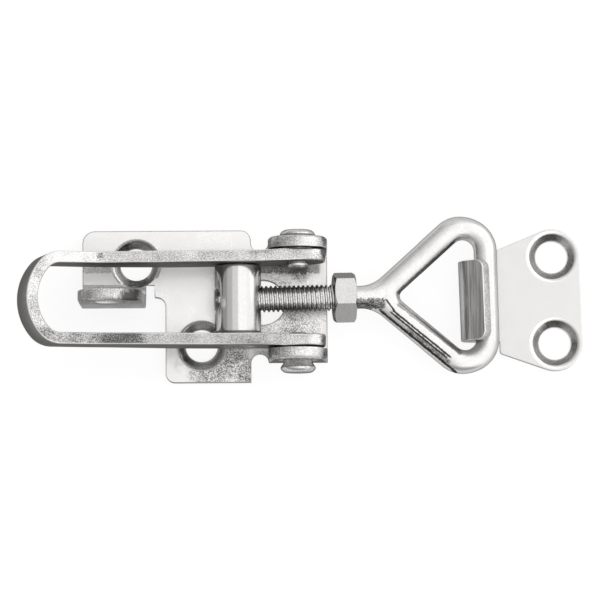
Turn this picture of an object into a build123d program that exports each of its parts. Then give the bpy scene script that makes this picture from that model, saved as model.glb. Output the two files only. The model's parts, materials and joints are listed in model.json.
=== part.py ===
from build123d import *
import os
from math import asin, cos, degrees, hypot, radians, sin, sqrt, tan

# Adjustable over centre toggle latch with a padlock eye, in millimetres.
# +X runs from the lever's loop to the keeper and +Z up from the mounting plane. The origin lies on
# that plane, on the centre line, under the axis that the lever turns about. The latch is closed.

# ---- Driving dimensions -------------------------------------------------------------------------

# Stock and clearances
sheet = 2.5                    # thickness of every folded or bent sheet piece
pin_clearance = 0.05           # radial, between a pin and the hole that it turns or slides in
arm_gap = 0.4                  # between a lever arm and the ear beside it
barrel_gap = 0.25              # between the barrel's shoulder and the lever arm beside it
rest_gap = 0.3                 # under the loop's bar, where it rests over the keeper

# Lever
pivot_z = 12.3                 # height of the axis that the lever turns about
arm_inner_y = 7.9              # half the clear width between the arms at the pivot
splay = 0.25                   # the arms stand this much nearer at the barrel
splay_end_x = -2.8
splay_start_x = -7.8
arm_top_z = 17.4
arm_bottom_z = 4.6
arm_front_x = 6.0              # the arms' rounded front ends
arm_front_top_radius = 3.6
arm_front_bottom_radius = 6.0
taper_start_x = -27.0          # the lower edge starts to rise here
finger_bend_x = -43.0          # the top edge bends up here into the finger loop
finger_angle = 16.5
finger_height = 9.8            # strip height over the finger loop
toe_in_start_x = -18.5         # the arms draw together from here
toe_in_end_x = -41.0           # to here
toe_in = 0.2                   # by this much on each side
loop_tip_x = -57.7             # outer face of the loop's nose, at its top edge
loop_nose_radius = 12.0        # outer radii of the loop, seen along its bend axis
loop_corner_radius = 6.0

# Pivot rivets: one form, but the left one is driven in until its head is close to the ear
rivet_shoulder_radius = 3.15   # turns in the ear
rivet_shank_radius = 1.9       # pressed through the arm
rivet_collar = {"left": 0.1, "right": 0.6}       # shoulder standing out of the ear
rivet_flare = {"left": 0.25, "right": 1.0}       # height over which the head flares out from it
rivet_tail_height = {"left": 1.3, "right": 0.5}  # tail left inside the arm
rivet_rim = 0.2                # straight rim of the head
rivet_crown = 0.95             # rounded part of the head's height
rivet_head_radius = 3.8
rivet_head_flat_radius = 2.4   # flat middle of the head
rivet_tail_radius = 2.25
rivet_tail_chamfer = 0.45

# Barrel
barrel_x = -12.9
barrel_z = 10.0
barrel_radius = 5.0
journal_radius = 3.5           # reduced ends that turn in the arms
barrel_edge = 0.4

# Base plate
wing_left_x = -46.85
panel_left_x = -28.8
wing_right_x = -10.2
upper_margin = 2.5             # the plate reaches this far past the upper ear
lower_margin = 4.1             # and this far past the lower one
step_edge_y = 1.2              # lower edge of the strip that carries the padlock eye
upper_left_radius = 2.7
upper_right_radius = 2.2
lower_left_radius = 2.0
step_radius = 2.0
ear_half_length = 6.4
ear_bend_radius = 1.0          # inner radius of the folds up into the ears
notch_setback = 0.4            # the relief notches stop this far outside the ears' inner faces
screw_bore_radius = 3.5
screw_sink_radius = 5.2        # countersinks at 90 degrees
base_screws = ((-35.2, 8.55), (-21.0, -9.3))
plain_hole = (-7.6, 0.0)        # open hole below the threaded rod
plain_hole_radius = 4.85

# Padlock eye
eye_half_width = 6.9
eye_face_y = -1.3              # outer face of the upright eye
eye_bend_radius = 2.8
eye_hole_radius = 4.1
eye_hole_z = 21.6               # high enough for a shackle to cross over the arms
eye_relief_width = 1.9         # slot beside the eye's fold

# Threaded eyebolt, in its own plane: u along the rod from the barrel's axis, v across it
thread_radius = 3.0
thread_tip_u = -5.0
thread_end_chamfer = 0.7
bar_radius = 2.5               # round bar of the neck and the loop
apex_u = 30.6                  # where the centre lines of the two limbs meet
loop_bar_u = 54.1              # centre line of the bar that the keeper holds
limb_angle = 41.0              # half the angle between the limbs
apex_inner_radius = 1.3
loop_bar_corner_radius = 5.0   # centre line radius of the two outer corners
neck_sweep_radius = 10.5       # centre line radius of the blend from the neck into each limb
neck_length = 1.3              # straight neck between the nut and that blend
eyebolt_yaw = 1.25             # the eyebolt lies turned by the play in its thread

# Lock nut
nut_across_flats = 9.8
nut_height = 4.7
nut_chamfer = 0.75
nut_turn = 17.5                # how far one corner lies past the top, toward -Y

# Keeper, in its own frame: x along it from the loop's bar, y across it
keeper_yaw = 1.7               # the loose keeper lies turned on the bar
keeper_offset = -1.4           # and off its middle
hook_centre_x = -0.25          # axis of the hook's curl
hook_play = 0.7                # radial, between the loop's bar and the inside of the hook
hook_angle = 143.0
lip_length = 3.4
lip_corner_radius = 2.0
tongue_half_width = 8.65
shoulder_x = 2.6
shoulder_half_width = 11.25
shoulder_side = 1.0            # straight side behind each shoulder
shoulder_corner_radius = 0.8
keeper_screw_x = 14.65
keeper_screw_pitch = 18.9
keeper_corner_radius = 6.0

# ---- Sizes worked out from them -----------------------------------------------------------------

arm_outer_y = arm_inner_y + sheet
waist_inner_y = arm_inner_y - splay
waist_outer_y = waist_inner_y + sheet
finger_outer_y = waist_outer_y - toe_in
ear_inner_y = arm_outer_y + arm_gap
ear_outer_y = ear_inner_y + sheet
upper_edge_y = ear_outer_y + upper_margin
lower_edge_y = -ear_outer_y - lower_margin
notch_end_y = ear_inner_y + notch_setback
notch_width = -ear_half_length - wing_right_x
eye_x = wing_left_x + eye_half_width
bar_z = sheet + rest_gap + bar_radius
hook_inner_radius = bar_radius + hook_play
rod_slope = degrees(asin((barrel_z - bar_z) / loop_bar_u))
nut_start_u = apex_u - neck_sweep_radius * tan(radians(limb_angle / 2)) - neck_length - nut_height


def direction(slope, yaw):
    """Unit vector that points along +X, turned by yaw about +Z and dipping by slope."""
    return Vector(
        cos(radians(slope)) * cos(radians(yaw)),
        cos(radians(slope)) * sin(radians(yaw)),
        -sin(radians(slope)),
    )


rod_direction = direction(rod_slope, eyebolt_yaw)
across = Vector(-sin(radians(eyebolt_yaw)), cos(radians(eyebolt_yaw)), 0)
eyebolt_plane = Plane(origin=(barrel_x, 0, barrel_z), x_dir=rod_direction, z_dir=rod_direction.cross(across))
loop_bar_centre = eyebolt_plane.from_local_coords(Vector(loop_bar_u, keeper_offset, 0))
keeper_place = Location((loop_bar_centre.X, loop_bar_centre.Y, 0), (0, 0, keeper_yaw))


# ---- Shared shapes ------------------------------------------------------------------------------

def nearest_corner(sketch, x, y):
    """The corner of a sketch that lies nearest to a point."""
    return min(sketch.vertices(), key=lambda corner: hypot(corner.X - x, corner.Y - y))


def round_corners(sketch, corners):
    """Round chosen corners of a sketch, given as (x, y, radius)."""
    for x, y, radius in corners:
        sketch = fillet(nearest_corner(sketch, x, y), radius)
    return sketch


def cross_cylinder(radius, x, z, start_y, end_y):
    """A cylinder along Y, from one Y to another."""
    centre = Location((x, (start_y + end_y) / 2, z), (90, 0, 0))
    return centre * Cylinder(radius, end_y - start_y)


def countersunk_hole(x, y):
    """The cutter for a through bore with a 90 degree countersink in the sheet's top face."""
    sink_depth = screw_sink_radius - screw_bore_radius
    bore = Pos(0, 0, sheet / 2) * Cylinder(screw_bore_radius, 2 * sheet)
    cone = Pos(0, 0, sheet - sink_depth / 2) * Cone(screw_bore_radius, screw_sink_radius, sink_depth)
    clear_way = Pos(0, 0, sheet + sheet / 4) * Cylinder(screw_sink_radius, sheet / 2)
    return Pos(x, y, 0) * (bore + cone + clear_way)


def upturned_flange(face_y, bend_radius, half_width, top_z, hole_radius):
    """Sheet that leaves the plate level, folds up to +Y and ends in a half round about a hole."""
    inner_y = face_y - sheet
    tangent_y = inner_y - bend_radius
    over_top_z = top_z + 2 * half_width
    section = make_face(Polyline(
        (tangent_y, 0), (face_y, 0), (face_y, over_top_z), (inner_y, over_top_z),
        (inner_y, sheet), (tangent_y, sheet), close=True))
    section = round_corners(section, (
        (face_y, 0, bend_radius + sheet),
        (inner_y, sheet, bend_radius)))
    fold = extrude(Plane.YZ.offset(-half_width) * section, 2 * half_width)
    side_view = Pos(0, top_z / 2) * Rectangle(2 * half_width, top_z) + Pos(0, top_z) * Circle(half_width)
    outline = extrude(Plane.XZ * side_view, face_y + sheet + bend_radius, both=True)
    hole = cross_cylinder(hole_radius, 0, top_z, tangent_y, face_y + sheet)
    return fold & outline - hole


# ---- Pieces -------------------------------------------------------------------------------------

def flat_blank():
    """Outline of the base's flat part, with the relief notches beside the ears."""
    eye_right_x = eye_x + eye_half_width + eye_relief_width
    eye_tangent_y = eye_face_y + sheet + eye_bend_radius
    blank = make_face(Polyline(
        (wing_left_x, eye_tangent_y), (wing_left_x, upper_edge_y), (-ear_half_length, upper_edge_y),
        (-ear_half_length, lower_edge_y), (panel_left_x, lower_edge_y), (panel_left_x, step_edge_y),
        (eye_right_x, step_edge_y), (eye_right_x, eye_tangent_y), close=True))
    notch_radius = notch_width / 2
    notch_x = wing_right_x + notch_radius
    notch_depth = upper_edge_y - notch_end_y
    for side in (1, -1):
        inner_end = Pos(notch_x, side * (notch_end_y + notch_radius))
        straight = Pos(0, side * notch_depth / 2) * Rectangle(notch_width, notch_depth)
        blank -= inner_end * (Circle(notch_radius) + straight)
    return round_corners(blank, (
        (wing_left_x, upper_edge_y, upper_left_radius),
        (wing_right_x, upper_edge_y, upper_right_radius),
        (panel_left_x, lower_edge_y, lower_left_radius),
        (panel_left_x, step_edge_y, step_radius)))


def base_plate():
    """One folded sheet: wings, two ears for the lever, and an upright eye for a padlock."""
    plate = extrude(flat_blank(), sheet)
    ear_tangent_y = ear_inner_y - ear_bend_radius
    plate += Pos(0, 0, sheet / 2) * Box(2 * ear_half_length, 2 * ear_tangent_y, sheet)
    ear = upturned_flange(ear_outer_y, ear_bend_radius, ear_half_length, pivot_z,
                          rivet_shoulder_radius + pin_clearance)
    plate += ear + mirror(ear, Plane.XZ)
    eye = upturned_flange(-eye_face_y, eye_bend_radius, eye_half_width, eye_hole_z, eye_hole_radius)
    plate += Pos(eye_x, 0, 0) * mirror(eye, Plane.XZ)
    for x, y in base_screws:
        plate -= countersunk_hole(x, y)
    return plate - Pos(*plain_hole, sheet / 2) * Cylinder(plain_hole_radius, 2 * sheet)


def lever_side_view():
    """The lever's strip seen from the side, as far as the start of the loop, and where that is."""
    finger = Vector(-cos(radians(finger_angle)), sin(radians(finger_angle)))
    down = Vector(-sin(radians(finger_angle)), -cos(radians(finger_angle)))
    corner_y = finger_outer_y - loop_corner_radius
    loop_depth = loop_nose_radius - sqrt((loop_nose_radius - loop_corner_radius) ** 2 - corner_y ** 2)
    bend = Vector(finger_bend_x, arm_top_z)
    loop_start = bend + finger * ((finger_bend_x - loop_tip_x) / -finger.X - loop_depth)
    loop_start_low = loop_start + down * finger_height
    knee = bend + down * finger_height
    strip = make_face(Polyline(
        (arm_front_x, arm_top_z), bend, loop_start, loop_start_low, knee,
        (taper_start_x, arm_bottom_z), (arm_front_x, arm_bottom_z), close=True))
    strip = round_corners(strip, (
        (arm_front_x, arm_top_z, arm_front_top_radius),
        (arm_front_x, arm_bottom_z, arm_front_bottom_radius)))
    return strip, loop_start, down


def loop_section(offset):
    """The loop's outline seen along its bend axis, drawn in from the outer face by an offset."""
    half_width = finger_outer_y - offset
    corner = loop_corner_radius - offset
    nose = loop_nose_radius - offset
    corner_y = half_width - corner
    corner_to_nose = sqrt((nose - corner) ** 2 - corner_y ** 2)
    reach = nose / (nose - corner)
    meet = Vector((reach - 1) * corner_to_nose, reach * corner_y)
    tip = Vector(nose - corner_to_nose, 0)
    outline = Line((0, -half_width), (0, half_width))
    outline += RadiusArc((0, half_width), meet, corner)
    outline += ThreePointArc(meet, tip, (meet.X, -meet.Y))
    outline += RadiusArc((meet.X, -meet.Y), (0, -half_width), corner)
    return make_face(outline)


def lever():
    """One strip on edge: two arms for the rivets and the barrel, joined by a bent-up finger loop."""
    strip, loop_start, down = lever_side_view()
    arms = Part()
    for side in (1, -1):
        line = [
            (arm_front_x, arm_outer_y), (splay_end_x, arm_outer_y),
            (splay_start_x, waist_outer_y), (toe_in_start_x, waist_outer_y),
            (toe_in_end_x, finger_outer_y), (loop_tip_x, finger_outer_y)]
        outer = [(x, side * y) for x, y in line]
        inner = [(x, side * (y - sheet)) for x, y in reversed(line)]
        arms += extrude(make_face(Polyline(*outer, *inner, close=True)), 2 * arm_top_z)
    arms &= extrude(Plane.XZ * strip, 2 * arm_outer_y, both=True)
    finger_plane = Plane(
        origin=(loop_start.X, 0, loop_start.Y),
        x_dir=(-cos(radians(finger_angle)), 0, sin(radians(finger_angle))),
        z_dir=(down.X, 0, down.Y))
    loop = extrude(finger_plane * (loop_section(0) - loop_section(sheet)), finger_height)
    bent = arms + loop
    bent -= cross_cylinder(rivet_shank_radius, 0, pivot_z, -ear_outer_y, ear_outer_y)
    bent -= cross_cylinder(journal_radius + pin_clearance, barrel_x, barrel_z, -ear_outer_y, ear_outer_y)
    return bent


def pivot_rivet(side):
    """A shoulder rivet: head outside the ear, shoulder in it, shank and upset tail in the arm."""
    tail_y = arm_inner_y - rivet_tail_height[side]
    collar_y = ear_outer_y + rivet_collar[side]
    flare_y = collar_y + rivet_flare[side]
    rim_y = flare_y + rivet_rim
    crown_y = rim_y + rivet_crown
    profile = Polyline(
        (rivet_head_flat_radius, crown_y), (0, crown_y), (0, tail_y),
        (rivet_tail_radius - rivet_tail_chamfer, tail_y), (rivet_tail_radius, tail_y + rivet_tail_chamfer),
        (rivet_tail_radius, arm_inner_y), (rivet_shank_radius, arm_inner_y),
        (rivet_shank_radius, arm_outer_y), (rivet_shoulder_radius, arm_outer_y),
        (rivet_shoulder_radius, collar_y), (rivet_head_radius, flare_y), (rivet_head_radius, rim_y))
    profile += TangentArc((rivet_head_flat_radius, crown_y), (rivet_head_radius, rim_y), tangent=(1, 0))
    rivet = Pos(0, 0, pivot_z) * revolve(make_face(profile), Axis.Y)
    return rivet if side == "left" else mirror(rivet, Plane.XZ)


def barrel():
    """A turned cross pin, with reduced ends in the arms and a cross hole for the rod."""
    shoulder_y = waist_inner_y - barrel_gap
    body = cross_cylinder(barrel_radius, barrel_x, barrel_z, -shoulder_y, shoulder_y)
    body = chamfer(body.edges().filter_by(GeomType.CIRCLE), barrel_edge)
    turned = body + cross_cylinder(journal_radius, barrel_x, barrel_z, -waist_outer_y, waist_outer_y)
    cross_hole = extrude(
        Plane(origin=eyebolt_plane.origin, z_dir=rod_direction) * Circle(thread_radius + pin_clearance),
        2 * barrel_radius, both=True)
    return turned - cross_hole


def round_bar(path):
    """Round bar of the eyebolt's stock, swept along a path in the eyebolt's own plane."""
    return sweep(Plane(origin=path @ 0, z_dir=path % 0) * Circle(bar_radius), path=path)


def eyebolt():
    """A threaded rod whose neck spreads into the two limbs of a closed triangular loop."""
    corner_v = (loop_bar_u - apex_u) * tan(radians(limb_angle))
    triangle = make_face(Polyline(
        (apex_u, 0), (loop_bar_u, corner_v), (loop_bar_u, -corner_v), close=True))
    triangle = round_corners(triangle, (
        (apex_u, 0, apex_inner_radius + bar_radius),
        (loop_bar_u, corner_v, loop_bar_corner_radius),
        (loop_bar_u, -corner_v, loop_bar_corner_radius)))
    solid = round_bar(triangle.face().outer_wire())
    spread = neck_sweep_radius * tan(radians(limb_angle / 2))
    limb_end = 2 * spread
    for side in (1, -1):
        end = (apex_u + limb_end * cos(radians(limb_angle)), side * limb_end * sin(radians(limb_angle)))
        solid += round_bar(Wire(FilletPolyline(
            (nut_start_u, 0), (apex_u, 0), end, radius=neck_sweep_radius).edges()))
    thread_length = nut_start_u + nut_height - thread_tip_u
    rod = Cylinder(thread_radius, thread_length)
    rod = chamfer(rod.edges().filter_by(GeomType.CIRCLE), thread_end_chamfer)
    solid += Pos(thread_tip_u + thread_length / 2, 0, 0) * Rot(0, 90, 0) * rod
    return eyebolt_plane.location * solid


def lock_nut():
    """A hexagon nut, chamfered on both faces and at both ends of its bore."""
    corner_radius = nut_across_flats / sqrt(3)
    prism = extrude(RegularPolygon(corner_radius, 6), nut_height)
    facing = Pos(0, 0, nut_height / 2) * Cylinder(corner_radius, nut_height)
    facing = chamfer(facing.edges().filter_by(GeomType.CIRCLE), nut_chamfer * tan(radians(30)), nut_chamfer)
    bore = Pos(0, 0, nut_height / 2) * Cylinder(thread_radius + pin_clearance, nut_height)
    nut = (prism & facing) - bore
    turned_to_rod = Pos(nut_start_u, 0, 0) * Rot(0, 90, 0) * Rot(0, 0, nut_turn)
    return eyebolt_plane.location * turned_to_rod * nut


def keeper():
    """One folded strike plate: two screw holes, and a tongue curled over the loop's bar."""
    screw_y = keeper_screw_pitch / 2
    corners = Sketch() + [Pos(keeper_screw_x, side * screw_y) * Circle(keeper_corner_radius)
                          for side in (1, -1)]
    shoulders = Pos(shoulder_x + shoulder_side / 2, 0) * Rectangle(shoulder_side, 2 * shoulder_half_width)
    outline = make_hull((corners + shoulders).edges())
    outline = round_corners(outline, (
        (shoulder_x, shoulder_half_width, shoulder_corner_radius),
        (shoulder_x, -shoulder_half_width, shoulder_corner_radius)))
    plate = extrude(outline, sheet)
    for side in (1, -1):
        plate -= countersunk_hole(keeper_screw_x, side * screw_y)

    centre_z = sheet + hook_inner_radius
    mid_radius = hook_inner_radius + sheet / 2
    turn = radians(270 - hook_angle)
    curl_end = Vector(hook_centre_x + mid_radius * cos(turn), centre_z + mid_radius * sin(turn))
    lip = Vector(cos(radians(180 - hook_angle)), sin(radians(180 - hook_angle)))
    middle = Polyline((shoulder_x + sheet, sheet / 2), (hook_centre_x, sheet / 2))
    middle += CenterArc((hook_centre_x, centre_z), mid_radius, -90, -hook_angle)
    tip = curl_end + lip * lip_length
    middle += Line(curl_end, tip)
    section = Plane.XZ * trace(middle, sheet)
    tongue = extrude(section, tongue_half_width, both=True)
    tip_corners = [tongue.edges().sort_by_distance((tip.X, side * tongue_half_width, tip.Y))[0]
                   for side in (1, -1)]
    tongue = fillet(tip_corners, lip_corner_radius)
    return keeper_place * (plate + tongue)


# ---- One STEP file per piece --------------------------------------------------------------------

pieces = {
    "base_plate": base_plate(),
    "lever": lever(),
    "pivot_rivet_left": pivot_rivet("left"),
    "pivot_rivet_right": pivot_rivet("right"),
    "barrel": barrel(),
    "eyebolt": eyebolt(),
    "lock_nut": lock_nut(),
    "keeper": keeper(),
}

os.makedirs("parts", exist_ok=True)
for name, piece in pieces.items():
    export_step(piece, f"parts/{name}.step")
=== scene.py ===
# %% [markdown]
# # A stainless over centre toggle latch
#
# The latch has eight pieces: a folded base, a bent lever, two rivets, a barrel, a threaded
# eyebolt, its lock nut and a keeper. Their sizes are settled in the CAD model, which is loaded
# here as a fixed frame. This lesson gives each piece the edges, the thread and the finish of the
# real one. Blender works in metres, so a size in millimetres is written as a number times `mm`.
#
# The frame is loaded first, and with it the points that later cells need: where the lever turns,
# where the barrel sits, and which way the rod runs.

# %% Load the frame
import bmesh
import bpy
import json
from math import cos, pi, radians, sin, tan
from mathutils import Matrix, Vector
from mathutils.bvhtree import BVHTree


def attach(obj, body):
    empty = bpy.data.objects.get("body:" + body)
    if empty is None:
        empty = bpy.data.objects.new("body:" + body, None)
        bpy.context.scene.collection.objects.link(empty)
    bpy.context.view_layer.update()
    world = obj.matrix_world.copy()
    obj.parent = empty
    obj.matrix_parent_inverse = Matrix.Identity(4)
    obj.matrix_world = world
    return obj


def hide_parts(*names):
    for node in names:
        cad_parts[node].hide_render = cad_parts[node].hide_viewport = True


mm = 0.001
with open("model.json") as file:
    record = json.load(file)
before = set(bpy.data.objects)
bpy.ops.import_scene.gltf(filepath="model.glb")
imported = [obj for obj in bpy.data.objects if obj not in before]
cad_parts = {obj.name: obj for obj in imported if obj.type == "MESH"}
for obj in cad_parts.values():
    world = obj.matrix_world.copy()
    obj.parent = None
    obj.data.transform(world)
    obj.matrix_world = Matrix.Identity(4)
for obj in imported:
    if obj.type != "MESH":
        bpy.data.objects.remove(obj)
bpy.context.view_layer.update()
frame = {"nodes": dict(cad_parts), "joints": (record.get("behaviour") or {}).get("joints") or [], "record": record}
mounts = {mount["name"]: mount for mount in frame["record"]["mounts"]}
joints = {joint["name"]: joint for joint in frame["joints"]}
pivot = Vector(joints["lever_pivot"]["pos_m"])
barrel_centre = Vector(joints["barrel_pivot"]["pos_m"])
bar_centre = Vector(joints["keeper_hook"]["pos_m"])
rod_direction = Vector(joints["eyebolt_adjust"]["axis"]).normalized()
across = Vector(joints["keeper_hook"]["axis"]).normalized()

# %% [markdown]
# ## The camera
#
# The latch is seen from almost straight above, from far enough away that near and far parts have
# nearly one scale. A long lens does that: the camera stands 850 mm off, and the lens is chosen so
# that the latch fills the width. Blender takes the lens and the sensor in plain millimetres.
# Building the camera's axes by hand keeps the small lean and the small roll exact.

# %% Camera
target = Vector((0.48, 0.72, 0)) * mm
camera_distance = 850 * mm
camera_lean = radians(4.9)
camera_roll = radians(0.35)
lens_length = 233.6
sensor_width = 36

back = Vector((0, -sin(camera_lean), cos(camera_lean)))
level_right = Vector((1, 0, 0))
level_up = back.cross(level_right)
right = level_right * cos(camera_roll) - level_up * sin(camera_roll)
up = back.cross(right)
camera_data = bpy.data.cameras.new("camera")
camera_data.lens = lens_length
camera_data.sensor_width = sensor_width
camera_data.clip_start = 0.01
camera = bpy.data.objects.new("camera", camera_data)
bpy.context.scene.collection.objects.link(camera)
axes = Matrix((right, up, back)).transposed().to_4x4()
camera.matrix_world = Matrix.Translation(target + back * camera_distance) @ axes
bpy.context.scene.camera = camera
print("camera at", [round(value, 3) for value in camera.location])

# %% [markdown]
# ## Light
#
# Bright metal shows what stands around it, so the light is a tent of long panels over the latch.
# Each panel covers a range of angles off the vertical. The right side is bright down to the floor
# and the left side dims in steps, so a round bar has a light side and a grey side, and a narrow
# gap overhead draws a thin dark line between them. A lamp's power grows with its area, so that
# its strength says how bright it looks and not how large it is.

# %% Tent of lamps
world = bpy.data.worlds.new("studio")
bpy.context.scene.world = world
world.use_nodes = True
room_grey = (0.3, 0.297, 0.293, 1)
world.node_tree.nodes["Background"].inputs["Color"].default_value = room_grey
bpy.context.scene.view_settings.view_transform = "Standard"
tent_radius = 900 * mm
tent_length = 2400 * mm


def tent_panel(name, start, end, strength, turn=0):
    """A long lamp between two angles off the vertical, turned about it, all in degrees."""
    middle, turn = radians((start + end) / 2), radians(turn)
    lamp = bpy.data.lights.new(name, "AREA")
    lamp.shape = "RECTANGLE"
    lamp.size = 2 * tent_radius * tan(radians(end - start) / 2)
    lamp.size_y = tent_length
    lamp.energy = strength * pi * lamp.size * lamp.size_y
    holder = bpy.data.objects.new(name, lamp)
    bpy.context.scene.collection.objects.link(holder)
    aside = tent_radius * sin(middle)
    holder.location = (aside * cos(turn), aside * sin(turn), tent_radius * cos(middle))
    holder.rotation_euler = (0, middle, turn)
    holder.visible_camera = False


tent_panel("right_top", -1.2, 45, 1.0)
tent_panel("right_side", 45, 87, 0.9)
tent_panel("left_top", -28, -2.8, 0.56)
tent_panel("left_middle", -55, -28, 0.27)
tent_panel("left_side", -87, -55, 0.06)
tent_panel("far_end", 56, 84, 0.6, turn=62)
print("lamps:", [lamp.name for lamp in bpy.data.lights])

# %% [markdown]
# ## Nodes in few words
#
# A material is a chain of nodes. Small helpers keep the cells short. `add_node` adds a node and
# connects or sets its inputs by name. `arithmetic` and `stretch` work on numbers and their
# sockets, and `vector_arithmetic` on places. `blend_colours` mixes two colours. `new_group` opens
# a node group, which is a chain that several materials share.

# %% Node helpers
def add_node(tree, kind, inputs=None, **settings):
    """Adds a node, sets its own options, and connects or sets its inputs."""
    node = tree.nodes.new(kind)
    for name, value in settings.items():
        setattr(node, name, value)
    for name, value in (inputs or {}).items():
        if isinstance(value, bpy.types.NodeSocket):
            tree.links.new(value, node.inputs[name])
        else:
            node.inputs[name].default_value = value
    return node


def arithmetic(tree, operation, *values, clamp=False):
    """The result of a Math node."""
    inputs = dict(enumerate(values))
    node = add_node(tree, "ShaderNodeMath", inputs, operation=operation, use_clamp=clamp)
    return node.outputs[0]


def vector_arithmetic(tree, operation, first, second, output=0):
    """The result of a Vector Math node."""
    inputs = {0: first, 1: second}
    return add_node(tree, "ShaderNodeVectorMath", inputs, operation=operation).outputs[output]


def stretch(tree, value, low, high, new_low=0.0, new_high=1.0):
    """A value's range from low to high, stretched to a new range and held there."""
    inputs = {"Value": value, "From Min": low, "From Max": high,
              "To Min": new_low, "To Max": new_high}
    return add_node(tree, "ShaderNodeMapRange", inputs).outputs["Result"]


def blend_colours(tree, factor, first, second):
    """Two colours mixed by a factor."""
    inputs = {0: factor, 6: first, 7: second}
    return add_node(tree, "ShaderNodeMix", inputs, data_type="RGBA").outputs[2]


def new_group(name, inputs, outputs):
    """An empty group: each socket is a number, a colour of four values or a place of three."""
    tree = bpy.data.node_groups.new(name, "ShaderNodeTree")
    kinds = {4: "NodeSocketColor", 3: "NodeSocketVector"}
    for way, sockets in (("INPUT", inputs), ("OUTPUT", outputs)):
        for label, value in sockets.items():
            kind = kinds[len(value)] if isinstance(value, tuple) else "NodeSocketFloat"
            socket = tree.interface.new_socket(name=label, in_out=way, socket_type=kind)
            socket.default_value = value
    given = add_node(tree, "NodeGroupInput").outputs
    return tree, given, add_node(tree, "NodeGroupOutput")


print("node helpers are ready")

# %% [markdown]
# ## The floor
#
# The floor is a pale sheet. What the camera and the metal see of it is mostly its own even white,
# and the rest is lit, so that the latch still has a faint shadow to stand on. Light Path tells
# the two apart. The sheet lies a hair below the plates, because two faces in one plane flicker.

# %% Floor
floor_drop = 0.05 * mm
floor_reach = 3
lit_grey = (0.9, 0.9, 0.9, 1)
seen_grey = (0.2, 0.2, 0.2, 1)
glow = 0.6
more_glow_for_camera = 0.26

floor_bm = bmesh.new()
bmesh.ops.create_grid(floor_bm, x_segments=1, y_segments=1, size=floor_reach)
bmesh.ops.translate(floor_bm, verts=floor_bm.verts, vec=(0, 0, -floor_drop))
floor_mesh = bpy.data.meshes.new("floor")
floor_bm.to_mesh(floor_mesh)
floor_bm.free()
floor = bpy.data.objects.new("floor", floor_mesh)
bpy.context.scene.collection.objects.link(floor)

floor_paint = bpy.data.materials.new("pale_floor")
floor_paint.use_nodes = True
tree = floor_paint.node_tree
paths = add_node(tree, "ShaderNodeLightPath").outputs
seen = arithmetic(tree, "ADD", paths["Is Camera Ray"], paths["Is Glossy Ray"], clamp=True)
seen = arithmetic(tree, "ADD", seen, paths["Is Transmission Ray"], clamp=True)
brightness = arithmetic(tree, "MULTIPLY_ADD", paths["Is Camera Ray"], more_glow_for_camera, glow)
brightness = arithmetic(tree, "MULTIPLY", seen, brightness)
floor_colour = blend_colours(tree, seen, lit_grey, seen_grey)
floor_shader = tree.nodes["Principled BSDF"]
tree.links.new(floor_colour, floor_shader.inputs["Base Color"])
tree.links.new(brightness, floor_shader.inputs["Emission Strength"])
floor_shader.inputs["Emission Color"].default_value = (1, 1, 1, 1)
floor_shader.inputs["Roughness"].default_value = 1
floor_shader.inputs["Specular IOR Level"].default_value = 0
floor_mesh.materials.append(floor_paint)
print("floor:", floor.name)

# %% [markdown]
# ## Grain, shared by every finish
#
# Tumbled and sheared steel is never even. One node group makes the unevenness for all of them: a
# fine grain and a coarse mottle, both read from Object coordinates so that they keep their real
# size in millimetres. Each material gives it its own colours and depths. Contrast says how dark
# the grain's spots are. Shade darkens a place as a whole, which is how shade is painted, and below
# zero it paints light. Stretch draws the grain out into streaks. A noise stays near a half, so a
# narrow range about a half is stretched to the full one.

# %% Grain group
def grain_group(spot_share=0.65, mottle=4 * mm, spot_range=(0.56, 0.44),
                patch_range=(0.68, 0.32)):
    """A group that puts out a mottled colour, a roughness and a height."""
    tree, given, out = new_group(
        "steel_grain",
        {"Light colour": (0.8, 0.79, 0.78, 1), "Dark colour": (0.5, 0.49, 0.48, 1),
         "Grain size": 0.4, "Contrast": 0.3, "Roughness": 0.35, "Roughness spread": 0.1,
         "Stretch": (1.0, 1.0, 1.0), "Shade": 0.0},
        {"Colour": (0.8, 0.8, 0.8, 1), "Roughness": 0.3, "Height": 0.0})
    place = add_node(tree, "ShaderNodeTexCoord").outputs["Object"]
    place = vector_arithmetic(tree, "MULTIPLY", place, given["Stretch"])
    fine_scale = arithmetic(tree, "DIVIDE", 1 / mm, given["Grain size"])
    fine = add_node(tree, "ShaderNodeTexNoise", {
        "Vector": place, "Scale": fine_scale, "Detail": 2.5, "Roughness": 0.65}).outputs["Fac"]
    coarse = add_node(tree, "ShaderNodeTexNoise", {
        "Vector": place, "Scale": 1 / mottle, "Detail": 3}).outputs["Fac"]
    spots = stretch(tree, fine, *spot_range)
    patches = stretch(tree, coarse, *patch_range)
    darkness = arithmetic(tree, "MULTIPLY_ADD", patches, 1 - spot_share,
                          arithmetic(tree, "MULTIPLY", spots, spot_share))
    amount = arithmetic(tree, "MULTIPLY_ADD", darkness, given["Contrast"], given["Shade"],
                        clamp=True)
    surface = {
        "Colour": blend_colours(tree, amount, given["Light colour"], given["Dark colour"]),
        "Roughness": arithmetic(tree, "MULTIPLY_ADD", darkness, given["Roughness spread"],
                                given["Roughness"]),
        "Height": fine}
    for label, value in surface.items():
        tree.links.new(value, out.inputs[label])
    return tree


grain = grain_group()
print("node group:", grain.name)

# %% [markdown]
# ## Round places of grain and painted shade
#
# Parts of a sheet are rougher than the rest, and some places are darker or lighter where shade or
# light is painted on. A second group gives a soft round mask about a point, with a ragged rim, and
# a material uses it to change the grain and the painted shade there.

# %% Patch group
noise_range = (0.3, 0.7)


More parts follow.
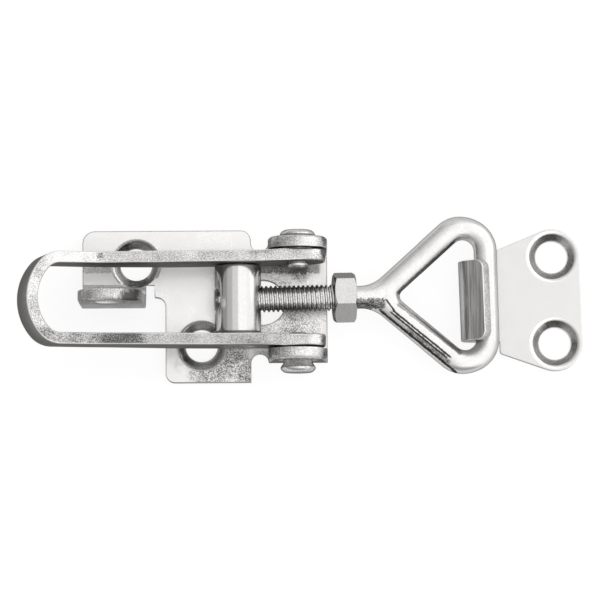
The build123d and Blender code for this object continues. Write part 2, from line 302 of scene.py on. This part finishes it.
def patch_group(ragged_size=3 * mm, ragged_amount=0.25, soft_from=0.45):
    """A group that puts out a mask: 1 about a place, falling to 0 at its radius."""
    tree, given, out = new_group(
        "grain_and_painted_light_patch", {"Place": (0.0, 0.0, 0.0), "Radius": 5.0}, {"Mask": 0.0})
    place = add_node(tree, "ShaderNodeTexCoord").outputs["Object"]
    away = vector_arithmetic(tree, "DISTANCE", place, given["Place"], "Value")
    share = arithmetic(tree, "DIVIDE", away, arithmetic(tree, "MULTIPLY", given["Radius"], mm))
    ragged = add_node(tree, "ShaderNodeTexNoise", {
        "Vector": place, "Scale": 1 / ragged_size}).outputs["Fac"]
    ragged = stretch(tree, ragged, *noise_range, -ragged_amount, ragged_amount)
    share = arithmetic(tree, "ADD", share, ragged)
    tree.links.new(stretch(tree, share, 1.0, soft_from), out.inputs["Mask"])
    return tree


patch = patch_group()
print("node group:", patch.name)

# %% [markdown]
# ## Strips of grain and painted shade
#
# The loop has thin painted dark lines along one limb, which stand for dark reflections, and a
# rough band of grain. Other strips paint shade under the arms and along the limbs. A third group
# masks a narrow strip along a straight line, seen from above. A point's way along the line is a
# dot product, and its way off the line is the length of a cross product.

# %% Mark group
def mark_group(ragged_size=0.6 * mm, ragged_amount=0.3, softness=0.15, end_fade=0.6):
    """A group that puts out a mask: 1 along a line of some length and width, 0 away from it."""
    tree, given, out = new_group(
        "grain_and_painted_light_strip",
        {"Start": (0.0, 0.0, 0.0), "Along": (1.0, 0.0, 0.0), "Length": 10.0, "Width": 0.5},
        {"Mask": 0.0})
    place = add_node(tree, "ShaderNodeTexCoord").outputs["Object"]
    ragged = add_node(tree, "ShaderNodeTexNoise", {
        "Vector": place, "Scale": 1 / ragged_size, "Detail": 2}).outputs["Fac"]
    path = vector_arithmetic(tree, "SUBTRACT", place, given["Start"])
    flat = vector_arithmetic(tree, "MULTIPLY", path, (1, 1, 0))
    along = vector_arithmetic(tree, "DOT_PRODUCT", flat, given["Along"], "Value")
    aside = vector_arithmetic(tree, "CROSS_PRODUCT", flat, given["Along"])
    offset = vector_arithmetic(tree, "LENGTH", aside, (0, 0, 0), "Value")
    half_width = arithmetic(tree, "MULTIPLY", given["Width"], mm / 2)
    share = arithmetic(tree, "DIVIDE", offset, half_width)
    ragged = stretch(tree, ragged, *noise_range, -ragged_amount, ragged_amount)
    share = arithmetic(tree, "ADD", share, ragged)
    inside = stretch(tree, share, 1 + softness, 1 - softness)
    along = arithmetic(tree, "DIVIDE", along, mm)
    start = stretch(tree, along, -end_fade, 0.0)
    left = arithmetic(tree, "SUBTRACT", given["Length"], along)
    end = stretch(tree, left, -end_fade, 0.0)
    ends = arithmetic(tree, "MULTIPLY", start, end)
    tree.links.new(arithmetic(tree, "MULTIPLY", inside, ends), out.inputs["Mask"])
    return tree


mark = mark_group()
print("node group:", mark.name)

# %% [markdown]
# ## Masks at real places
#
# A material names the places where it differs: `around` a point or along a `strip`. Both take
# millimetres, so a place can be read off the latch with a ruler. A strip ignores the height, so
# it marks whatever lies on its line.

# %% Masks
def around(tree, place, radius):
    """A mask about a place, in mm."""
    values = {"Place": [value * mm for value in place], "Radius": radius}
    return add_node(tree, "ShaderNodeGroup", values, node_tree=patch).outputs["Mask"]


def strip(tree, start, angle, length, width):
    """A mask along a line from a start, at an angle from +X in degrees, in mm."""
    values = {"Start": (start[0] * mm, start[1] * mm, 0),
              "Along": (cos(radians(angle)), sin(radians(angle)), 0),
              "Length": length, "Width": width}
    return add_node(tree, "ShaderNodeGroup", values, node_tree=mark).outputs["Mask"]


print("masks are ready")

# %% [markdown]
# ## One function for every steel
#
# Each finish is a metal with its own grain, so one function builds them all. The height goes
# through a Bump node, whose distance is a real depth: a few hundredths of a millimetre on sheet,
# more on a sheared edge. The specular tint of a metal is its colour at a glancing angle. A low one
# is painted shade: it keeps standing walls grey when they are seen almost edge on, as if they
# reflected the shade beside them. The base colour is a grey made slightly warm, as stainless
# steel is beside white.

# %% Steel
warm = (1, 0.99, 0.975)


def warm_grey(level):
    """A linear grey as a colour of four values."""
    return (*[level * part for part in warm], 1)


def steel(name, light, dark, size, contrast, roughness, spread, depth, glancing,
          places=(), streaks=(1, 1, 1)):
    """A stainless finish. Sizes are in mm. A place is (mask, its values, contrast, shade)."""
    paint = bpy.data.materials.new(name)
    paint.use_nodes = True
    tree = paint.node_tree
    shader = tree.nodes["Principled BSDF"]
    shader.inputs["Metallic"].default_value = 1
    shader.inputs["Specular Tint"].default_value = (glancing, glancing, glancing, 1)
    level, shade = contrast, 0.0
    for mask, numbers, more_contrast, more_shade in places:
        here = mask(tree, *numbers)
        if more_contrast:
            level = arithmetic(tree, "MULTIPLY_ADD", here, more_contrast, level)
        if more_shade:
            shade = arithmetic(tree, "MULTIPLY_ADD", here, more_shade, shade)
    values = {"Light colour": warm_grey(light), "Dark colour": warm_grey(dark),
              "Grain size": size, "Roughness": roughness, "Roughness spread": spread,
              "Contrast": level, "Shade": shade, "Stretch": streaks}
    surface = add_node(tree, "ShaderNodeGroup", values, node_tree=grain)
    bump = add_node(tree, "ShaderNodeBump", {
        "Height": surface.outputs["Height"], "Distance": depth * mm})
    tree.links.new(surface.outputs["Colour"], shader.inputs["Base Color"])
    tree.links.new(surface.outputs["Roughness"], shader.inputs["Roughness"])
    tree.links.new(bump.outputs["Normal"], shader.inputs["Normal"])
    return paint


print("steel is ready")

# %% [markdown]
# ## Where a sheet finish differs
#
# These are the rough places of the rolled sheet and of its sheared edges, and the places where
# shade is painted on them. Each is a mask, its values in millimetres, what it adds to the contrast,
# and what it adds to the shade. A place below zero is smoother, or lighter where light is painted.

# %% Places on sheet
sheet_places = [
    # The wing beside the middle screw is rough.
    (around, ((-17, -14, 2.5), 9), 1.0, 0),
    (around, ((-9, -14, 2.5), 5), 1.0, 0.2),
    # Between the ears: a painted shadow under one arm and its rivet; by the rod, rough grain and painted light.
    (strip, ((-10, 7.4), 0, 14.5, 2.2), 0.4, 0.45),
    (around, ((0.5, 5.8, 2.5), 3), 0.5, 0.35),
    (around, ((-3, 6, 2.5), 5), 0.5, 0.1),
    (around, ((-1, -5, 2.5), 8), 1.0, -0.1),
    # The middle of the plate is smoother and lighter, with painted light.
    (around, ((-25, 1, 2.5), 9), 0.16, -0.16),
    # A painted shadow under the arm beside the eye, and a fine line of painted shade along the eye's bend.
    (strip, ((-48, 7.3), 0, 11.5, 1.3), 0.4, 0.24),
    (strip, ((-46.1, 3.95), 0, 8, 0.24), 0, 0.4)]
edge_places = [
    # Painted shade makes one arm of the lever darker than the other, most at the bow and by the eye.
    (strip, ((-56, -9.2), 0, 58, 5), 0, 0.14),
    (strip, ((-56, -9.2), 0, 12, 5), 0, 0.16),
    (around, ((-38, -9, 17.4), 7), 0, 0.45),
    # The other arm has a dark nick and a smooth stretch.
    (around, ((-42.3, 9, 18.2), 1.2), 1.0, 0.5),
    (around, ((-49, 9, 18.2), 7), -0.4, 0),
    # Painted shade at both ends of the top of the eye, where its rim turns down.
    (around, ((-34.2, -0.4, 27.6), 3.4), 0, 1.0),
    (around, ((-46.5, 0, 27.5), 3), 0, 0.35),
    # Painted shade on the noses of the arms and at both ends of the ears, where they round away.
    (around, ((5.6, 9.3, 15), 1.8), 0, 0.6),
    (around, ((5.6, -9.3, 15), 1.8), 0, 0.6),
    (around, ((6, 12.5, 15), 1.8), 0, 0.6),
    (around, ((6, -12.5, 15), 1.8), 0, 0.5),
    (around, ((-8, 12, 15), 5), 0, 0.4),
    (around, ((-8, -12, 15), 4.5), 0, 0.35),
    # The tops of the ears are smoother.
    (around, ((2.5, 12, 18), 3.5), -0.2, 0),
    (around, ((3, -11.5, 18), 4), -0.3, 0)]
print("places on sheet:", len(sheet_places) + len(edge_places))

# %% [markdown]
# ## Where the loop, the hook and the cones differ
#
# The loop has thin painted dark lines along one limb, which stand for dark reflections, and
# painted shade along its neck and the inner side of each limb. The hook of the keeper has a
# painted highlight along its curl, with a grey stripe of painted shade beside it. The cones of the
# countersinks carry painted shade on some sides.

# %% Places on loop, hook and cones
bar_places = [
    # Painted reflections: a short dark line in the neck, three along one limb; a rough band beside.
    (strip, ((19.2, -0.3), -54, 3, 0.4), 0, 0.9),
    (strip, ((20.7, -2.6), -39.3, 15.6, 0.42), 0, 0.95),
    (strip, ((20.2, -2.95), -39.3, 15, 0.4), 0, 0.9),
    (strip, ((17.9, -2.53), -39.3, 21, 0.5), 0, 0.95),
    (strip, ((24, -6.6), -39.3, 11, 0.9), 0.9, 0.05),
    # Before the neck the bar is rough, with painted shade; painted shade runs along each limb's inner side.
    (strip, ((12, -0.95), 0, 6.6, 2.2), 0.6, 0.5),
    (strip, ((21.8, -1.1), -38.6, 17, 0.9), 0, 0.6),
    (strip, ((21.7, 1.4), 41.9, 16.5, 0.8), 0, 0.75)]
hook_places = [
    # A grey stripe of painted shade, and a painted highlight beside it along the curl's turn.
    (strip, ((36.1, 8.4), -88.9, 17, 0.9), 0, 0.25),
    (strip, ((36.8, 8.4), -88.9, 17, 0.3), 0, -0.6)]
cone_places = [
    # Painted shade on both cones of the keeper.
    (around, ((54.6, 13.9, 1.8), 3.4), 0.2, 0.55),
    (around, ((59.4, 8.9, 1.8), 3.0), 0.2, 0.4),
    (around, ((55.5, -5.0, 1.8), 3.2), 0.2, 0.55),
    (around, ((60, -10, 1.8), 3.0), 0.2, 0.4),
    # Painted shade on the outer cone of the base.
    (around, ((-37.8, 12, 1.8), 3.0), 0.2, 0.6),
    (around, ((-35.4, 4.4, 1.8), 3.4), 0.3, 0.3),
    # Painted shade on the middle cone of the base.
    (around, ((-24, -6.2, 1.8), 2.6), 0.2, 0.6),
    (around, ((-18, -6.4, 1.8), 2.2), 0.2, 0.6),
    (around, ((-23.6, -12.6, 1.8), 3.2), 0.3, 0.35)]
print("other places:", len(bar_places) + len(hook_places) + len(cone_places))

# %% [markdown]
# ## Twelve finishes
#
# Each way of working the metal leaves its own surface: a rolling mill, a shear, a deburring
# drum, a drill, a bending die, a lathe and a thread roller. Their numbers differ, and their
# nodes are the same. The wall finish is darker than the sheet it stands on, which is painted
# shade. The hook's grain is drawn out along the bend, so it shows as streaks.

# %% Finishes
# In order: light and dark grey, grain size, contrast, roughness, its spread, depth, glancing.
rolled = steel("rolled_sheet", 0.98, 0.14, 0.24, 0.05, 0.26, 0.16, 0.02, 0.6, sheet_places)
brushed = steel("brushed_sheet", 0.74, 0.56, 0.3, 0.06, 0.3, 0.1, 0.005, 0.6)
sheared = steel("sheared_edge", 0.97, 0.1, 0.26, 0.7, 0.34, 0.14, 0.06, 0.5, edge_places)
deburred = steel("deburred_corner", 0.95, 0.5, 0.3, 0.3, 0.24, 0.1, 0.01, 0.5)
# The cone finish also covers the eye's bore, where its darkness is painted shade inside the hole.
countersunk = steel("countersunk_cone", 0.62, 0.1, 0.3, 0.4, 0.16, 0.1, 0.012, 0.3, cone_places)
# The standing walls are darker than the sheet: painted shade.
walls = steel("wall_with_painted_shade", 0.5, 0.22, 0.5, 0.5, 0.36, 0.12, 0.02, 0.1)
hooked = steel("hooked_wall", 0.82, 0.2, 0.9, 0.7, 0.28, 0.1, 0.01, 0.3, hook_places,
               streaks=(1, 0.05, 1))
turned = steel("turned_bar", 0.76, 0.62, 0.5, 0.2, 0.14, 0.05, 0.002, 0.3)
threaded = steel("rolled_thread", 0.85, 0.2, 0.3, 0.5, 0.16, 0.12, 0.01, 0.15)
drawn = steel("drawn_bar", 0.84, 0.06, 0.26, 0.14, 0.26, 0.1, 0.015, 0.2, bar_places)
machined = steel("machined_hexagon", 0.65, 0.38, 0.4, 0.3, 0.2, 0.1, 0.008, 0.3)
headed = steel("headed_rivet", 0.85, 0.3, 0.4, 0.5, 0.2, 0.1, 0.02, 0.2)
print("finishes:", len(bpy.data.materials) - 1)

# %% [markdown]
# ## From a CAD node to a clean mesh
#
# The CAD meshes have the right shape but razor edges, and real sheet metal is deburred. A CAD
# mesh is loose triangles, so a copy of it is cleaned first. `remove_doubles` joins the corners,
# `dissolve_limit` makes one face of the triangles in one plane, and `dissolve_degenerate` takes
# out edges that are too short for a bevel.

# %% Clean copies
joined_within = 0.0001 * mm
flat_within = radians(0.3)
shortest_edge = 0.04 * mm
edge_angle = radians(35)


def merged_copy(node):
    """A CAD node's mesh as a bmesh with joined corners and whole flat faces."""
    bm = bmesh.new()
    bm.from_mesh(frame["nodes"][node].data)
    bmesh.ops.remove_doubles(bm, verts=bm.verts, dist=joined_within)
    bmesh.ops.dissolve_limit(bm, angle_limit=flat_within, verts=bm.verts, edges=bm.edges)
    bmesh.ops.dissolve_degenerate(bm, dist=shortest_edge, edges=bm.edges)
    return bm


def sharp_edges(bm, keep=lambda edge: True):
    """The edges that turn by more than edge_angle, of those that keep accepts."""
    return [edge for edge in bm.edges
            if edge.is_manifold and edge.calc_face_angle(0) > edge_angle and keep(edge)]


print("CAD nodes:", sorted(frame["nodes"]))

# %% [markdown]
# ## Broken edges
#
# A bevel rounds the sharp edges over. It keeps its width where edges are short, because one
# short edge would otherwise thin the bevel of the whole piece. Some of its corners then land
# outside the metal, and `settle` brings those back to the nearest point of the CAD surface. The
# nut's bore has edges so short that its bevel is clamped instead.

# %% Broken edges
outside_by = 0.01 * mm
off_the_surface = 0.05 * mm
inside_share = 0.2
collapsed_within = 0.002 * mm


def break_edges(bm, edges, width, segments=3, clamp=False):
    """Rounds edges over by a width in mm and returns the new faces. Clamped, it may be less."""
    return bmesh.ops.bevel(
        bm, geom=edges, offset=width * mm, offset_type="OFFSET", affect="EDGES",
        segments=segments, profile=0.5, clamp_overlap=clamp, material=-1)["faces"]


def settle(bm, node):
    """Brings back to a CAD node's surface each corner that a bevel has pushed out of it."""
    whole = merged_copy(node)
    surface = BVHTree.FromBMesh(whole)
    whole.free()
    moved = 0
    for vert in bm.verts:
        place, normal, _, distance = surface.find_nearest(vert.co)
        outward = (vert.co - place).dot(normal)
        # Beside an edge, a corner is off the surface and yet hardly on its inner side.
        beside_an_edge = distance > off_the_surface and outward > -inside_share * distance
        if outward > outside_by or beside_an_edge:
            vert.co = place
            moved += 1
    bmesh.ops.dissolve_degenerate(bm, dist=collapsed_within, edges=bm.edges)
    print(f"{node}: {moved} corners settled")


print("bevels are ready")

# %% [markdown]
# ## A finished piece
#
# A face with many corners is a large flat one and stays flat shaded. Everything that curves is
# made of small faces, and is smooth. The piece then rides on its body and stands for its CAD
# node, so it moves with the joints.

# %% Finished pieces
flat_face_corners = 9


def make_piece(bm, name, body, materials, replaced):
    """Turns a bmesh into a piece that rides on a body and stands for a CAD node."""
    for face in bm.faces:
        face.smooth = len(face.verts) < flat_face_corners
    for edge in bm.edges:
        edge.smooth = edge.is_manifold and edge.calc_face_angle(0) < edge_angle
    mesh = bpy.data.meshes.new(name)
    bm.to_mesh(mesh)
    bm.free()
    for material in materials:
        mesh.materials.append(material)
    piece = bpy.data.objects.new(name, mesh)
    bpy.context.scene.collection.objects.link(piece)
    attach(piece, body)
    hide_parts(replaced)
    print(f"{name}: {len(mesh.polygons)} faces")


print("pieces can be made")

# %% [markdown]
# ## The lever
#
# One strip stands on edge and is bent round. What shows from above is mostly the sheared edge of
# the strip, so the piece has three finishes: the walls, darker with painted shade, the sheared
# edges and the deburred corners between them. A face belongs to the sheared edge when it looks
# along the strip's height, or when it is part of the round nose of an arm.

# %% Lever
FLAT, SHEARED, CORNER, WALL, CONE, HOOK = range(6)
sheet_finishes = [rolled, sheared, deburred, walls, countersunk, hooked]
finger_angle = radians(16.5)
strip_down = Vector((-sin(finger_angle), 0, -cos(finger_angle)))
turned_away = 0.3
nose_round, lever_corner = 0.5, 0.22


def lever_finish(face):
    """Which finish a face of the lever takes."""
    at_front = face.calc_center_median().x > 0 and abs(face.normal.y) < turned_away
    along_height = abs(face.normal.dot(strip_down)) > turned_away
    return SHEARED if at_front or along_height else WALL


def at_nose(edge):
    """True for an edge round the front end of an arm."""
    return all(vert.co.x > pivot.x for vert in edge.verts)


bm = merged_copy("lever")
for face in bm.faces:
    face.material_index = lever_finish(face)
for face in break_edges(bm, sharp_edges(bm, at_nose), nose_round, segments=5):
    face.material_index = SHEARED
for face in break_edges(bm, sharp_edges(bm), lever_corner):
    face.material_index = CORNER
settle(bm, "lever")
make_piece(bm, "bent_lever", "lever_arm", sheet_finishes, "lever")

# %% [markdown]
# ## Screw holes in sheet
#
# The base plate and the keeper are both folded sheet, and both have countersunk screw holes.
# Their places are read from the frame's mounts. The mouth of a countersink is worn rounder than
# other edges, so its edges are picked out for a wider bevel. One of them nearly meets the slot
# beside the eye, and two bevels would cross there, so that spot is left out.

# %% Screw holes
sheet = 2.5 * mm
cone_reach = 5.4 * mm
facing = 0.95
on_surface = 0.02 * mm
slot_end = Vector((-32.6, 4.3)) * mm
slot_reach = 1.9 * mm
bend_end = Vector((-35.8, 4.0)) * mm
bend_reach = 2.4 * mm


def middle_of(edge):
    """The middle of an edge."""
    return sum((vert.co for vert in edge.verts), Vector()) / 2


def at_screw(place, names):
    """True for a place inside the mouth of a named screw hole, seen from above."""
    return any((place - Vector(mounts[name]["pos_m"])).xy.length < cone_reach for name in names)


def in_countersink(face, names):
    """True for a face of a screw hole's bore or cone."""
    return abs(face.normal.z) <= facing and at_screw(face.calc_center_median(), names)


def clear_of_slot(edge):
    """False where a countersink nearly meets the slot and the bend of the eye."""
    place = middle_of(edge).xy
    return (place - slot_end).length > slot_reach and (place - bend_end).length > bend_reach


def round_a_screw(edge, names):
    """True for an edge of a countersink's mouth."""
    on_top = all(abs(vert.co.z - sheet) < on_surface for vert in edge.verts)
    return on_top and at_screw(middle_of(edge), names) and clear_of_slot(edge)


print("screw holes:", [name for name in mounts if "screw" in name])

# %% [markdown]
# ## The base plate's faces
#
# Its flat faces are rolled, what the press cut is sheared, what stands up is wall, and the
# countersinks are turned cones. A face's direction and height tell them apart. The eye for the
# padlock stands between the arms near the bow. Its front is as rough as a sheared edge, and its
# hole takes the dark cone finish, which paints the shade inside it.

# %% Faces of the base plate
base_screws = ("base_screw_outer", "base_screw_middle")
eye = Vector(mounts["padlock_hole"]["pos_m"])
plates_below = 10 * mm
eye_side = -30 * mm
eye_bore = 4.5 * mm
standing, square_on, half_turned = 0.2, 0.05, 0.5


def base_finish(face):
    """Which finish a face of the base plate takes."""
    centre = face.calc_center_median()
    normal = face.normal
    raised = centre.z > sheet
    at_eye = centre.x < eye_side
    if in_countersink(face, base_screws) and centre.z < sheet:
        return CONE
    if abs(normal.z) > facing and centre.z < plates_below:
        return FLAT
    # The eye's bore takes the dark cone finish: painted shade inside the hole.
    if (centre - eye).length < eye_bore and abs(normal.y) < half_turned:
        return CONE
    if normal.z > half_turned and centre.z < 2 * sheet and at_eye:
        return FLAT
    outline = centre.z < sheet and abs(normal.z) < standing
    flange_rim = abs(normal.y) < square_on and raised
    eye_front = normal.y < -facing and at_eye and raised
    return SHEARED if outline or flange_rim or eye_front else WALL


print("the eye's hole is at", [round(value / mm, 1) for value in eye], "mm")

# %% [markdown]
# ## The base plate
#
# The ears' outer faces and the eye's outline are rounded most, as a drum rounds what sticks out.
# The mouths of the countersinks come next, and every other edge is only broken. A bevel below
# the sheet's top or on the outer side of an ear takes the wall's darker finish, painted shade, so
# that it draws no bright line there.

# %% Base plate
ear_foot_z = 5.4 * mm
ear_depth = 1.3 * mm
eye_half_length, eye_half_thickness, eye_hole_reach = 8 * mm, 1.6 * mm, 6 * mm
ear_round, eye_round, mouth_round, sheet_corner = 1.0, 0.6, 0.4, 0.16


def round_an_ear(edge):
    """True for an edge of an ear's outer face."""
    return all(abs(vert.co.y) > ear_outer_y - on_surface and vert.co.z > ear_foot_z
               for vert in edge.verts)


def round_the_eye(edge):
    """True for an outer edge of the upright eye."""
    return all(vert.co.x < eye.x + eye_half_length
               and abs(vert.co.y - eye.y) < eye_half_thickness and vert.co.z > ear_foot_z
               and (vert.co - eye).length > eye_hole_reach for vert in edge.verts)


bm = merged_copy("base_plate")
for face in bm.faces:
    face.material_index = base_finish(face)
ear_outer_y = max(vert.co.y for vert in bm.verts if vert.co.z > plates_below)
for keep, width in ((round_an_ear, ear_round), (round_the_eye, eye_round)):
    for face in break_edges(bm, sharp_edges(bm, keep), width, segments=6):
        face.material_index = SHEARED
mouths = sharp_edges(bm, lambda edge: round_a_screw(edge, base_screws))
for face in break_edges(bm, mouths, mouth_round, segments=5):
    face.material_index = CORNER
for face in break_edges(bm, sharp_edges(bm, clear_of_slot), sheet_corner):
    centre = face.calc_center_median()
    hidden = centre.z < sheet or abs(centre.y) > ear_outer_y - ear_depth
    face.material_index = WALL if hidden else CORNER
settle(bm, "base_plate")
make_piece(bm, "folded_base", "base", sheet_finishes, "base_plate")

# %% [markdown]
# ## The keeper
#
# The keeper is screwed down beyond the latch, and its tongue is curled over the loop's bar. It
# lies a little turned, so its faces are judged along its own directions and not along X and Y.
# Its flat plate is brushed rather than rolled, and its curl has the streaked finish of a bend.

# %% Keeper
keeper_screws = ("keeper_screw_upper", "keeper_screw_lower")
keeper_turn = radians(1.7)
lip_rise = radians(37)
keeper_x = Vector((cos(keeper_turn), sin(keeper_turn), 0))
keeper_y = Vector((-sin(keeper_turn), cos(keeper_turn), 0))
lip_face = keeper_x * -sin(lip_rise) + Vector((0, 0, cos(lip_rise)))
plate_from, lip_from = 2.5 * mm, -3 * mm
plate_below, lip_above = 3 * mm, 9.3 * mm
sideways = 0.9
keeper_finishes = [brushed, *sheet_finishes[1:]]


def keeper_finish(face):
    """Which finish a face of the keeper takes."""
    centre = face.calc_center_median()
    normal = face.normal
    if in_countersink(face, keeper_screws):
        return CONE
    along = (centre - bar_centre).dot(keeper_x)
    outline = along > plate_from and abs(normal.z) < standing
    side = abs(normal.dot(keeper_y)) > sideways
    across_lip = abs(normal.dot(lip_face)) < turned_away
    lip_end = centre.z > lip_above and across_lip and along > lip_from
    if outline or side or lip_end:
        return SHEARED
    return FLAT if along > 0 and centre.z < plate_below else HOOK


bm = merged_copy("keeper")
for face in bm.faces:
    face.material_index = keeper_finish(face)
mouths = sharp_edges(bm, lambda edge: round_a_screw(edge, keeper_screws))
for face in break_edges(bm, mouths, mouth_round, segments=5):
    face.material_index = CORNER
for face in break_edges(bm, sharp_edges(bm), sheet_corner):
    face.material_index = CORNER
settle(bm, "keeper")
make_piece(bm, "hooked_keeper", "keeper_plate", keeper_finishes, "keeper")

# %% [markdown]
# ## Barrel, nut and rivets
#
# These are turned or headed from bar. Their CAD shapes are right, so they only get small broken
# edges, each of its own width in millimetres.

# %% Barrel, nut and rivets
small_pieces = [
    ("barrel", 0.08, False, "turned_barrel", "barrel_pin", "barrel", turned),
    ("lock_nut", 0.06, True, "hexagon_nut", "nut", "nut", machined),
    ("pivot_rivet_left", 0.1, False, "rivet_left", "lever_arm", "rivets", headed),
    ("pivot_rivet_right", 0.1, False, "rivet_right", "lever_arm", "rivets", headed)]
for node, width, clamp, name, body, slot, finish in small_pieces:
    bm = merged_copy(node)
    break_edges(bm, sharp_edges(bm), width, segments=2, clamp=clamp)
    settle(bm, node)
    make_piece(bm, name, body, [finish], node)

# %% [markdown]
# ## The thread
#
# The eyebolt's rod has a real thread. Its outline over one pitch is a short chain of points, and
# a spin with a step along the axis winds it into a helix. The rod is made along X from the
# barrel's centre, and a matrix puts it in its place at the end.

# %% Thread
eyebolt_axes = Matrix((rod_direction, across, rod_direction.cross(across))).transposed().to_4x4()
eyebolt_frame = Matrix.Translation(barrel_centre) @ eyebolt_axes
thread_pitch = 1.0 * mm
crest_radius = 2.85 * mm
root_radius = 2.4 * mm
crest = root = thread_pitch / 5
flank = (thread_pitch - crest - root) / 2
outline = [(0, root_radius), (flank, crest_radius), (flank + crest, crest_radius),
           (2 * flank + crest, root_radius), (thread_pitch, root_radius)]
steps_per_turn = 48
welded_within = 0.001 * mm


def helix(start, turns, points):
    """Winds a chain of (along, radius) points about X, one pitch to a turn."""
    bm = bmesh.new()
    chain = [bm.verts.new((start + along, 0, radius)) for along, radius in points]
    for low, high in zip(chain, chain[1:]):
        bm.edges.new((low, high))
    bmesh.ops.spin(bm, geom=bm.verts[:] + bm.edges[:], cent=(0, 0, 0), axis=(1, 0, 0),
                   angle=2 * pi * turns, steps=steps_per_turn * turns,
                   dvec=(thread_pitch / steps_per_turn, 0, 0))
    bmesh.ops.remove_doubles(bm, verts=bm.verts, dist=welded_within)
    return bm


print(f"thread: {thread_pitch / mm} mm pitch, {(crest_radius - root_radius) / mm:.2f} mm deep")

# %% [markdown]
# ## The rod's ends
#
# The helix is wound longer than the rod. Near each end the corners are drawn in to a chamfer,
# then two planes cut the helix to length and the cuts are filled. A chamfer lets a nut start
# easily, and here it also hides where the thread runs out.

# %% Rod
tip_u = -5.0 * mm
thread_end_u = 25.2 * mm
end_chamfer = 0.7 * mm
spare_turns = 2
turns = round((thread_end_u - tip_u) / thread_pitch) + spare_turns
bm = helix(tip_u - spare_turns * thread_pitch, turns, outline)
for vert in bm.verts:
    radius = Vector((vert.co.y, vert.co.z)).length
    from_end = min(vert.co.x - tip_u, thread_end_u - vert.co.x)
    allowed = crest_radius - max(0, end_chamfer - from_end)
    if radius > allowed:
        vert.co.yz = vert.co.yz * (allowed / radius)
for end, outward in ((tip_u, -1), (thread_end_u, 1)):
    bmesh.ops.bisect_plane(bm, geom=bm.verts[:] + bm.edges[:] + bm.faces[:],
                           plane_co=(end, 0, 0), plane_no=(outward, 0, 0), clear_outer=True)
bmesh.ops.holes_fill(bm, edges=[edge for edge in bm.edges if edge.is_boundary])
bmesh.ops.recalc_face_normals(bm, faces=bm.faces)
bmesh.ops.transform(bm, matrix=eyebolt_frame, verts=bm.verts)
make_piece(bm, "threaded_rod", "eyebolt_rod", [threaded], "eyebolt")

# %% [markdown]
# ## The loop
#
# The loop is pressed from the same bar: its neck flows into both limbs, with no edge between
# them. Its CAD mesh is cut off where the thread ends. A voxel remesh then gives it small even
# cells all over, which is what smoothing needs, because smoothing moves corners and makes none.

# %% Loop
loop_voxel = 0.2 * mm
overlap = 0.05 * mm
bm = merged_copy("eyebolt")
cut = eyebolt_frame @ Vector((thread_end_u - overlap, 0, 0))
bmesh.ops.bisect_plane(bm, geom=bm.verts[:] + bm.edges[:] + bm.faces[:],
                       plane_co=cut, plane_no=-rod_direction, clear_outer=True)
bmesh.ops.holes_fill(bm, edges=[edge for edge in bm.edges if edge.is_boundary])
rough_mesh = bpy.data.meshes.new("rough_loop")
bm.to_mesh(rough_mesh)
bm.free()
rough = bpy.data.objects.new("rough_loop", rough_mesh)
bpy.context.scene.collection.objects.link(rough)
remesh = rough.modifiers.new("even_cells", "REMESH")
remesh.mode = "VOXEL"
remesh.voxel_size = loop_voxel
evaluated = rough.evaluated_get(bpy.context.evaluated_depsgraph_get())
bm = bmesh.new()
bm.from_mesh(evaluated.to_mesh())
bpy.data.objects.remove(rough)
print("remeshed loop:", len(bm.faces), "faces")

# %% [markdown]
# ## The neck and the limbs
#
# The neck is smoothed many times, until the crease between the limbs is gone. Then each limb is
# raised a little along its outer side, where the die left it fuller than round. The lift fades
# out at both ends, and a last light smoothing evens the whole loop.

# %% Neck and limbs
neck_start_u = thread_end_u + 0.3 * mm
neck_end_u = 40 * mm
neck_passes, last_passes = 24, 3
limb_angle = radians(41)
limb_start, limb_end = 27 * mm, 53 * mm
fade_length = 5 * mm
fuller = 0.36 * mm


def smooth(bm, verts, passes):
    """Moves corners half way to the middle of their neighbours, a number of times."""
    for _ in range(passes):
        bmesh.ops.smooth_vert(bm, verts=verts, factor=0.5,
                              use_axis_x=True, use_axis_y=True, use_axis_z=True)


into_eyebolt = eyebolt_frame.inverted()
neck = [vert for vert in bm.verts if neck_start_u < (into_eyebolt @ vert.co).x < neck_end_u]
smooth(bm, neck, neck_passes)
bm.normal_update()
for vert in bm.verts:
    local = into_eyebolt @ vert.co
    fade = min(1, (local.x - limb_start) / fade_length, (limb_end - local.x) / fade_length)
    side = 1 if local.y > 0 else -1
    outward = Vector((-sin(limb_angle), cos(limb_angle) * side, 0))
    outward = eyebolt_axes.to_3x3() @ outward
    vert.co += outward * fuller * max(0, fade) * max(0, vert.normal.dot(outward))
smooth(bm, bm.verts, last_passes)
make_piece(bm, "triangle_loop", "eyebolt_rod", [drawn], "eyebolt")
